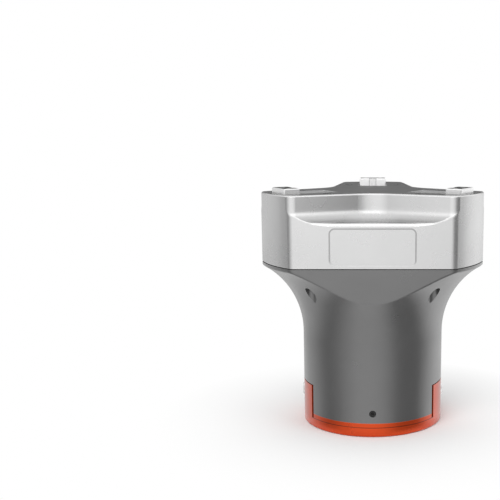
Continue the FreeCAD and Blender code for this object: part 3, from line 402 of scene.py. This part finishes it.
def painted_rim_highlight(finish, base):
    """Painted highlight: brighter metal where an outer edge is rounded, between a wall and a top.

    The mask leaves out the hollow rounding at the pockets' floor, which lies between two heights.
    """
    up = upward(finish)
    z = finish.split(finish.where)[2]
    hollow = finish.times(finish.maths("GREATER_THAN", z, POCKET_Z),
                          finish.maths("LESS_THAN", z, POCKET_Z + HOLLOW_H))
    lean = finish.times(finish.ramp(up, 0.08, 0.35), finish.ramp(up, 0.9995, 0.97),
                        finish.maths("SUBTRACT", 1.0, hollow))
    share = finish.ramp(z, POCKET_Z, POCKET_Z + HOLLOW_H, 0.9, 0.3)
    return finish.blend(finish.times(lean, share), base, grey(1.0))


def head_painted_light(finish, base):
    """All the painted light in the head's colour: painted shade and a painted highlight on its
    pockets' floors, a painted highlight on its rims and the painted shade line round the recess.
    """
    for mark in (pocket_floors, painted_rim_highlight, panel_shadow):
        base = mark(finish, base)
    return base


def jaw_painted_shade(finish, base):
    """Painted shade on the jaw: its top darker than its sides, and a dark line where the notch
    breaks through the face.
    """
    side, out = threefold(finish, 1.0)
    line = finish.ramp(finish.apart(side, NOTCH_R), 0.4 * MM, 0.25 * MM)
    face = finish.maths("COMPARE", out, JAW_FACE, 0.6 * MM)
    base = finish.blend(finish.times(line, face, 0.6), base, grey(0.2))
    return finish.blend(finish.ramp(upward(finish), 0.9, 0.97), base, grey(0.18))


def lighter_slot_walls(finish, base):
    """Lighter grey on the walls of the slots than on the deck's top."""
    wall = finish.ramp(finish.maths("ABSOLUTE", upward(finish)), 0.3, 0.15)
    return finish.blend(wall, base, grey(0.6))


def flange_seam(finish, base):
    """Painted shade: a dark line in the joint between ring and flange, between the ears."""
    _, y, z = finish.split(finish.where)
    line = finish.ramp(finish.apart(z, RING_H), 0.24 * MM, 0.12 * MM)
    between = finish.maths("GREATER_THAN", finish.maths("ABSOLUTE", y), EAR_Y)
    return finish.blend(finish.times(line, between, 0.8), base, (0.05, 0.008, 0.004, 1.0))


def turned_metal(name, dark, light, pitch_mm, rough, metallic=1.0, depth_um=6.0):
    """Turned alloy or steel with fine rings."""
    finish = Finish(name, metallic=metallic)
    ring = finish.part_of(RINGS, Pitch=pitch_mm)["Height"]
    finish.colour(finish.blend(ring, dark, light))
    finish.rough(rough[0], rough[1], 12.0)
    finish.relief(ring, depth_um, 0.5)
    return finish.material


def ground_metal(name, dark, light, turn, rough, stretch=24.0, depth_um=3.0, wear_and_highlight_colour=None,
                 metallic=1.0, mark=None):
    """Steel ground in one direction, given as an angle about the upright axis."""
    finish = Finish(name, metallic=metallic)
    lines = finish.place((1.0, stretch, stretch), turn)
    stroke = finish.noise(lines, 320.0, 4.0, 0.6)
    base = finish.blend(finish.ramp(stroke, 0.3, 0.7), dark, light)
    if mark:
        base = mark(finish, base)
    if wear_and_highlight_colour:
        # Lighter edges: rubbed wear, and on rounded edges a painted highlight as well
        wear_and_highlight = finish.part_of(EDGE, Width=0.3 * MM)["Mask"]
        base = finish.blend(wear_and_highlight, base, wear_and_highlight_colour)
    finish.colour(base)
    finish.rough(rough[0], rough[1], 10.0)
    finish.relief(stroke, depth_um, 0.5)
    return finish.material


def moulded(name, dark, light, rough):
    """Moulded plastic or rubber with a fine eroded texture."""
    finish = Finish(name)
    grain = finish.part_of(GRAIN, Size=0.35)
    finish.colour(finish.blend(grain["Fleck"], dark, light))
    finish.rough(rough[0], rough[1], 9.0)
    finish.relief(grain["Height"], 14.0, 0.7)
    return finish.material


def sheet_stack():
    """Stator laminations: thin sheets with dark lines between them."""
    finish = Finish("stator_laminations", metallic=0.8)
    thickness = 0.5 * MM
    z = finish.split(finish.where)[2]
    layer = finish.maths("FRACT", finish.times(z, 1 / thickness))
    seam = finish.ramp(layer, 0.1, 0.25)
    finish.colour(finish.blend(seam, grey(0.08), grey(0.32)))
    finish.rough(0.4, 0.55)
    finish.relief(seam, 30.0)
    return finish.material


def wire_coil():
    """Enamelled wire in tight turns."""
    finish = Finish("enamelled_wire", metallic=0.7, coat=0.6)
    thickness = 0.45 * MM
    x, _, z = finish.split(finish.where)
    across = finish.maths("ADD", z, finish.times(x, 0.31))
    turn = finish.maths("SINE", finish.times(across, 2 * math.pi / thickness))
    turn = finish.ramp(turn, -1.0, 1.0)
    # The colour darkens once in each turn, a painted shade between the wires
    finish.colour(finish.blend(turn, (0.16, 0.04, 0.015, 1.0), (0.62, 0.22, 0.07, 1.0)))
    finish.rough(0.25, 0.4)
    finish.relief(turn, 120.0)
    return finish.material


def board(name, chip_low=-1.0, chip_high=1.0):
    """Green solder mask with tracks and pads; chips lie below one height or above another.

    Left out, either height lies far outside the board.
    """
    finish = Finish(name, coat=0.4, coat_rough=0.2)
    z = finish.split(finish.where)[2]
    chip = finish.maths("MAXIMUM", finish.maths("GREATER_THAN", z, chip_high),
                        finish.maths("LESS_THAN", z, chip_low))
    cells = finish.add("TexVoronoi", {"distance": "CHEBYCHEV"}, Vector=finish.where, Scale=260.0)
    track = finish.ramp(cells.outputs["Distance"], 0.42, 0.46)
    mask = finish.blend(track, (0.006, 0.09, 0.03, 1.0), (0.02, 0.2, 0.07, 1.0))
    finish.colour(finish.blend(chip, mask, grey(0.03)))
    finish.rough(0.3, 0.42)
    finish.relief(track, 35.0)
    return finish.material


# The head's edges go strongly towards white: partly rubbed wear, partly a painted highlight on its
# rounded edges
SILVER = blasted_metal("cast_silver", grey(0.67), grey(0.71), grey(0.98), (0.24, 0.3), 0.16, 1.2,
                       metallic=0.95, wear_and_highlight_share=0.8, mark=head_painted_light)
NECK = blasted_metal("neck_grey", grey(0.155), grey(0.168), grey(0.3), (0.27, 0.34), 0.2, 2.0,
                     metallic=0.7, coat=(0.35, 1.0), coat_ior=1.8)
DECK = blasted_metal("deck_grey", grey(0.2), grey(0.215), grey(0.34), (0.32, 0.4), 0.2, 3.0,
                     metallic=0.4, mark=lighter_slot_walls)
ORANGE = blasted_metal("orange_anodised", (0.62, 0.06, 0.008, 1.0), (0.68, 0.07, 0.01, 1.0),
                       (0.85, 0.2, 0.07, 1.0), (0.27, 0.34), 0.2, 3.0, metallic=0.7,
                       coat=(0.12, 1.0), mark=flange_seam)
# The jaws are lit and shaded copies of one steel: the first has almost no metallic, so that it
# renders brighter, a painted light
JAWS = [ground_metal("jaw_steel_%d" % k, grey(0.95), grey(1.0), angle, (0.3, 0.38), depth_um=0.3,
                     wear_and_highlight_colour=grey(1.0), metallic=metallic, mark=jaw_painted_shade)
        for k, (angle, metallic) in enumerate(zip(ARMS, (0.05, 0.85, 0.85)), 1)]
THREAD = ground_metal("thread_steel", grey(0.1), grey(0.18), 0.0, (0.35, 0.45), stretch=1.0,
                      metallic=0.6)
RUNNERS = [ground_metal("runner_steel_%d" % k, grey(0.42), grey(0.55), angle, (0.22, 0.36))
           for k, angle in enumerate(ARMS, 1)]
GEARS = turned_metal("gear_steel", grey(0.4), grey(0.56), 0.25, (0.24, 0.36))
SHAFTS = turned_metal("shaft_steel", grey(0.5), grey(0.62), 0.12, (0.16, 0.26), depth_um=3.0)
RACES = turned_metal("bearing_steel", grey(0.55), grey(0.66), 0.1, (0.1, 0.2), depth_um=2.0)
ALLOY = turned_metal("turned_alloy", grey(0.5), grey(0.62), 0.3, (0.3, 0.42))
BRIGHT = turned_metal("bright_screw", grey(0.9), grey(0.98), 0.2, (0.12, 0.2), metallic=0.5,
                      depth_um=3.0)
BLACK = blasted_metal("black_oxide", grey(0.015), grey(0.04), grey(0.35), (0.3, 0.45), 0.12, 6.0,
                      edge_mm=0.12, metallic=0.6)
NICKEL = turned_metal("nickel_shell", grey(0.55), grey(0.68), 0.2, (0.16, 0.26), depth_um=3.0)
BRASS = turned_metal("spacer_brass", (0.55, 0.34, 0.1, 1.0), (0.72, 0.48, 0.18, 1.0), 0.2,
                     (0.25, 0.35))
MAGNET = turned_metal("magnet_plating", grey(0.45), grey(0.55), 0.4, (0.2, 0.34))
WIPER = moulded("wiper_green", (0.01, 0.09, 0.05, 1.0), (0.02, 0.13, 0.07, 1.0), (0.4, 0.55))
RUBBER = moulded("gasket_rubber", grey(0.012), grey(0.03), (0.6, 0.75))
INSULATOR = moulded("contact_insulator", grey(0.012), grey(0.028), (0.35, 0.5))
STACK = sheet_stack()
WIRE = wire_coil()
SENSOR_BOARD = board("sensor_board", chip_high=36.601 * MM)
DRIVE_BOARD = board("drive_board", chip_low=27.999 * MM)

FINISHES = {
    "head_housing": SILVER, "neck_shell": NECK, "top_plate": DECK,
    "mount_adapter": ORANGE, "base_flange": ORANGE, "adapter_side_screws": BRIGHT,
    "shell_set_screws": BLACK, "neck_screws": BLACK, "top_plate_screws": BLACK,
    "gearbox_screws": BLACK, "gearbox_mount_screws": BLACK, "seam_gasket": RUBBER,
    "gearbox_front": ALLOY, "motor_can": ALLOY, "motor_cap": ALLOY, "ring_gear": GEARS,
    "sun_gear": GEARS, "planet_gear_1": GEARS, "planet_gear_2": GEARS, "planet_gear_3": GEARS,
    "planet_carrier": SHAFTS, "planet_pins": SHAFTS, "output_pinion": GEARS,
    "rotor_shaft": SHAFTS, "bearing_outer_rings": RACES, "output_bearing_inner_rings": RACES,
    "motor_bearing_inner_rings": RACES, "rotor_magnets": MAGNET, "encoder_magnet": MAGNET,
    "stator_core": STACK, "stator_windings": WIRE, "encoder_board": SENSOR_BOARD,
    "control_board": DRIVE_BOARD, "board_standoffs": BRASS, "connector_socket": NICKEL,
    "connector_nut": NICKEL, "connector_insert": INSULATOR,
}
for k, (runner, jaw) in enumerate(zip(RUNNERS, JAWS), 1):
    FINISHES.update({
        "guide_rail_%d" % k: runner, "rail_screws_%d" % k: BLACK,
        "carriage_%d" % k: runner, "carriage_caps_%d" % k: WIPER,
        "carriage_screws_%d" % k: BLACK, "rack_%d" % k: runner, "jaw_%d" % k: jaw,
    })


def dress():
    """Gives every node of the frame its finish."""
    for name, node in NODES.items():
        node.data.materials.clear()
        node.data.materials.append(FINISHES[name])


dress()


# Meshes


def grid(points):
    """Points and quads of a sheet from an array of (rows, columns, 3)."""
    rows, columns = points.shape[:2]
    index = np.arange(rows * columns).reshape(rows, columns)
    quads = np.stack([index[:-1, :-1], index[1:, :-1], index[1:, 1:], index[:-1, 1:]], axis=2)
    return points.reshape(-1, 3), quads.reshape(-1, 4).tolist()


def ring_grid(points):
    """Points and quads of a grid whose rows and columns both close on themselves."""
    rows, columns = points.shape[:2]
    index = np.arange(rows * columns).reshape(rows, columns)
    below = np.roll(index, -1, axis=0)
    beside = np.roll(index, -1, axis=1)
    quads = np.stack([index, beside, np.roll(below, -1, axis=1), below], axis=2)
    return points.reshape(-1, 3), quads.reshape(-1, 4).tolist()


def new_mesh(name, points, faces, smooth=True):
    """A mesh object at the origin from an array of points and a list of faces."""
    mesh = bpy.data.meshes.new(name)
    mesh.from_pydata(points.tolist(), [], faces)
    mesh.validate()
    if smooth:
        mesh.shade_smooth()
    thing = bpy.data.objects.new(name, mesh)
    bpy.context.scene.collection.objects.link(thing)
    return thing


def thread_sleeve(angle, side):
    """Thread in one hole of a jaw's top, as a closed sleeve along the hole's wall.

    Its inner side has, at a depth and an angle round the hole, the radius of the hole less a ridge.
    The ridge is highest where the depth in pitches, plus the angle in turns, is half way between
    two whole numbers, and falls evenly to nothing at the whole numbers, so it climbs as a helix.
    The outer side is a plain tube just inside the hole.
    """
    around = np.arange(THREAD_COLUMNS) / THREAD_COLUMNS
    down = np.arange(THREAD_ROWS * THREAD_TURNS + 1) / THREAD_ROWS
    phase = np.mod(down[:, None] + around[None, :], 1.0)
    inner = HOLE_R - 2 * THREAD_GAP - THREAD_RIDGE * (1.0 - np.abs(2.0 * phase - 1.0))
    outer = np.full((2, THREAD_COLUMNS), HOLE_R - THREAD_GAP)
    radius = np.concatenate([inner, outer])
    depth = THREAD_PITCH * np.concatenate([down, [THREAD_TURNS, 0.0]])
    height = np.broadcast_to(HOLE_TOP - THREAD_START - depth[:, None], radius.shape)
    arm = math.radians(angle)
    middle_x = HOLE_OUT * math.cos(arm) - side * HOLE_SIDE * math.sin(arm)
    middle_y = HOLE_OUT * math.sin(arm) + side * HOLE_SIDE * math.cos(arm)
    return ring_grid(np.stack([middle_x + radius * np.cos(2 * math.pi * around),
                               middle_y + radius * np.sin(2 * math.pi * around), height], axis=2))


def jaw_threads():
    """Threads in the two holes of each jaw; they travel with the jaw."""
    for k, angle in enumerate(ARMS, 1):
        for name, side in (("left", 1.0), ("right", -1.0)):
            thread = new_mesh("jaw_%d_thread_%s" % (k, name), *thread_sleeve(angle, side))
            thread.data.materials.append(THREAD)
            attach(thread, "jaw_%d" % k)


jaw_threads()


# Studio


# The floor: radii of its rings, points on each ring, and its height
FLOOR_RINGS = (0.05, 0.15, 0.3, 0.6, 1.2, 6.0)
FLOOR_COLUMNS = 96
FLOOR_Z = -0.0002

# The cove: radii over the floor, radius and height of the screen, radius of the corner between
# them, height over the floor, length that widens the light's angle, light high at the back, and
# light by the angle round the object
COVE_FLOOR = (0.042, 0.12, 0.22)
COVE_RADIUS = 0.36
COVE_CLIMB = 0.4
COVE_CORNER = 0.05
COVE_LIFT = 0.0006
COVE_SKEW = 0.0375
COVE_BACK = 0.07
COVE_LIGHT = ((-180, 0.64), (-150, 0.62), (-130, 0.63), (-114, 0.58), (-100, 0.38), (-84, 0.22),
              (-68, 0.36), (-50, 0.69), (-26, 0.98), (0, 0.96), (18, 0.84), (32, 0.58), (46, 0.26),
              (60, 0.2), (86, 0.18), (102, 0.56), (116, 0.86), (134, 0.94), (180, 0.66))

# The softbox: radius and middle height of its ball, degrees sideways and of height, points each
# way, and light
SOFTBOX_RADIUS = 0.5
SOFTBOX_MIDDLE = 0.1
SOFTBOX_SIDE = 46.0
SOFTBOX_RISE = (28.0, 50.0)
SOFTBOX_STEPS = 25
SOFTBOX_LIGHT = 1.6


def floor():
    """Round pale floor; far from the object it fades to the white of the background.

    Its points are the middle and rings of growing radius round it, all at one height. Triangles
    join the middle to the first ring, and quads join each ring to the next.
    """
    turns = np.linspace(0.0, 2 * math.pi, FLOOR_COLUMNS + 1)[:-1]
    ring = np.stack([np.cos(turns), np.sin(turns), np.zeros_like(turns)], axis=1)
    points = np.concatenate([np.zeros((1, 3))] + [radius * ring for radius in FLOOR_RINGS])
    points[:, 2] = FLOOR_Z
    start = 1 + np.arange(FLOOR_COLUMNS)
    after = 1 + (np.arange(FLOOR_COLUMNS) + 1) % FLOOR_COLUMNS
    faces = np.stack([np.zeros_like(start), start, after], axis=1).tolist()
    for k in range(len(FLOOR_RINGS) - 1):
        near, far = k * FLOOR_COLUMNS, (k + 1) * FLOOR_COLUMNS
        faces += np.stack([start + near, start + far, after + far, after + near], axis=1).tolist()
    ground = new_mesh("floor", points, faces, smooth=False)
    sheet = studio_sheet(ground)
    diffuse = sheet.add("BsdfDiffuse", Color=grey(0.86)).outputs[0]
    white = sheet.add("Emission", Color=grey(1.0), Strength=1.0).outputs[0]
    x, y, _ = sheet.split(sheet.place())
    fade = sheet.ramp(sheet.length(x, y), 0.04, 0.12)
    sheet.surface(sheet.mix(sheet.times(fade, seen(sheet)), diffuse, white))


def studio_sheet(thing):
    """The node tree of a new material on a studio surface."""
    material = plain_material(thing.name)
    thing.data.materials.append(material)
    return Sheet(material.node_tree)


def seen(sheet):
    """One for rays from the camera, a mirror or glass, and zero for light."""
    rays = sheet.add("LightPath").outputs
    sharp = sheet.maths("MAXIMUM", rays["Is Camera Ray"], rays["Is Glossy Ray"])
    return sheet.maths("MAXIMUM", sharp, rays["Is Transmission Ray"])


def cove():
    """Screen round the object that only gloss sees, as in a product studio.

    Each point of the grid stands at an angle round the object and at a step of the profile, which
    runs outwards over the floor, turns up in a quarter circle and climbs, higher at the back.
    The angle that picks the light is the point's angle times one plus COVE_SKEW over the point's
    distance from the axis.
    """
    bend = np.radians(np.linspace(0.0, 90.0, 9))
    wall = COVE_CORNER + COVE_CLIMB * np.linspace(0.2, 1.0, 6)
    out = np.concatenate([COVE_FLOOR, COVE_RADIUS - COVE_CORNER + COVE_CORNER * np.sin(bend),
                          np.full_like(wall, COVE_RADIUS)])
    rise = np.concatenate([np.zeros_like(COVE_FLOOR), COVE_CORNER - COVE_CORNER * np.cos(bend),
                           wall])
    turns = np.radians(np.linspace(-180.0, 180.0, 145))[:, None]
    behind = np.clip((np.abs(turns) - math.radians(110)) / math.radians(30), 0.0, 1.0)
    climb = COVE_CORNER + (rise - COVE_CORNER) * (0.5 + 0.5 * behind)
    up = COVE_LIFT + np.where(rise > COVE_CORNER, climb, rise)
    points = np.stack([np.sin(turns) * out, -np.cos(turns) * out, up], axis=2)
    screen = new_mesh("cove", *grid(points))
    sheet = studio_sheet(screen)
    x, y, z = sheet.split(sheet.place())
    away = sheet.length(x, y)
    turn = sheet.maths("ARCTAN2", x, sheet.times(y, -1.0))
    angle = sheet.times(turn, sheet.maths("ADD", 1.0, sheet.maths("DIVIDE", COVE_SKEW, away)))
    share = sheet.maths("MULTIPLY_ADD", angle, 0.5 / math.pi, 0.5)
    level = sheet.steps(share, [(at / 360.0 + 0.5, light) for at, light in COVE_LIGHT])
    back = sheet.ramp(sheet.maths("ABSOLUTE", turn), math.radians(125), math.radians(155))
    level = sheet.blend(sheet.times(back, sheet.ramp(z, 0.105, 0.14)), level, grey(COVE_BACK))
    lift = sheet.ramp(z, 0.035, 0.06, 1.0, 1.12)
    dip = sheet.ramp(sheet.apart(away, 0.25), 0.08, 0.02, 1.0, 0.86)
    glow = sheet.add("Emission", Color=level, Strength=sheet.times(lift, dip))
    sheet.surface(glow.outputs[0])
    for_gloss(screen)


def softbox():
    """Bright curved panel high in front that only gloss sees, so that rounded edges shine.

    The grid lies on a ball round the object, between two angles sideways and two angles of height.
    """
    turns = np.radians(np.linspace(-SOFTBOX_SIDE, SOFTBOX_SIDE, SOFTBOX_STEPS))[:, None]
    heights = np.radians(np.linspace(*SOFTBOX_RISE, SOFTBOX_STEPS))
    flat = SOFTBOX_RADIUS * np.cos(heights)
    up = SOFTBOX_MIDDLE + SOFTBOX_RADIUS * np.sin(heights)
    sides = np.broadcast_arrays(np.sin(turns) * flat, -np.cos(turns) * flat, up)
    panel = new_mesh("softbox", *grid(np.stack(sides, axis=2)))
    sheet = studio_sheet(panel)
    x, y, _ = sheet.split(sheet.place())
    turn = sheet.maths("ABSOLUTE", sheet.maths("ARCTAN2", x, sheet.times(y, -1.0)))
    level = sheet.ramp(turn, math.radians(SOFTBOX_SIDE), math.radians(30), 1.0, SOFTBOX_LIGHT)
    sheet.surface(sheet.add("Emission", Color=grey(1.0), Strength=level).outputs[0])
    for_gloss(panel)


def for_gloss(thing):
    """Stages an object that shows in gloss alone."""
    thing.visible_camera = False
    thing.visible_diffuse = False
    thing.visible_shadow = False
    thing.visible_transmission = False


def lamp(name, place, aim, size, watts):
    """Soft rectangular lamp that points at a spot and leaves no reflection of itself."""
    light = bpy.data.lights.new(name, "AREA")
    light.shape = "RECTANGLE"
    light.size, light.size_y = size
    light.energy = watts
    thing = bpy.data.objects.new(name, light)
    bpy.context.scene.collection.objects.link(thing)
    thing.location = place
    way = np.array(aim) - np.array(place)
    flat = math.hypot(way[0], way[1])
    thing.rotation_euler = (math.atan2(flat, -way[2]), 0.0, math.atan2(-way[0], way[1]))
    thing.visible_glossy = False


def world():
    """White studio: white where it is seen, and plain soft light where it only lights."""
    space = bpy.data.worlds.new("studio")
    space.use_nodes = True
    space.node_tree.nodes.clear()
    sheet = Sheet(space.node_tree)
    light = sheet.add("Background", Color=grey(1.0), Strength=0.5).outputs[0]
    white = sheet.add("Background", Color=grey(1.0), Strength=1.0).outputs[0]
    sheet.surface(sheet.mix(seen(sheet), light, white), "OutputWorld")
    bpy.context.scene.world = space


def camera():
    """Camera at the photographed angle; the object stands right of the frame's middle."""
    tilt = 0.197
    data = bpy.data.cameras.new("camera")
    data.sensor_fit = "HORIZONTAL"
    data.sensor_width = 36.0
    data.lens = 67.64
    data.shift_x = -0.2453
    data.shift_y = 0.1059
    thing = bpy.data.objects.new("camera", data)
    bpy.context.scene.collection.objects.link(thing)
    thing.location = (0.0, -499.15 * MM, 162.74 * MM)
    thing.rotation_euler = (math.pi / 2 - tilt, 0.0, 0.0)
    bpy.context.scene.camera = thing


bpy.context.scene.view_settings.view_transform = "Standard"
world()
floor()
cove()
softbox()
lamp("key", (-0.35, -0.9, 0.95), (0.0, 0.0, 0.09), (0.8, 0.6), 9.5)
lamp("fill", (0.8, -0.5, 0.5), (0.0, 0.0, 0.08), (0.6, 0.6), 2.5)
lamp("top", (0.0, 0.25, 1.0), (0.0, 0.0, 0.1), (0.9, 0.9), 3.0)
camera()
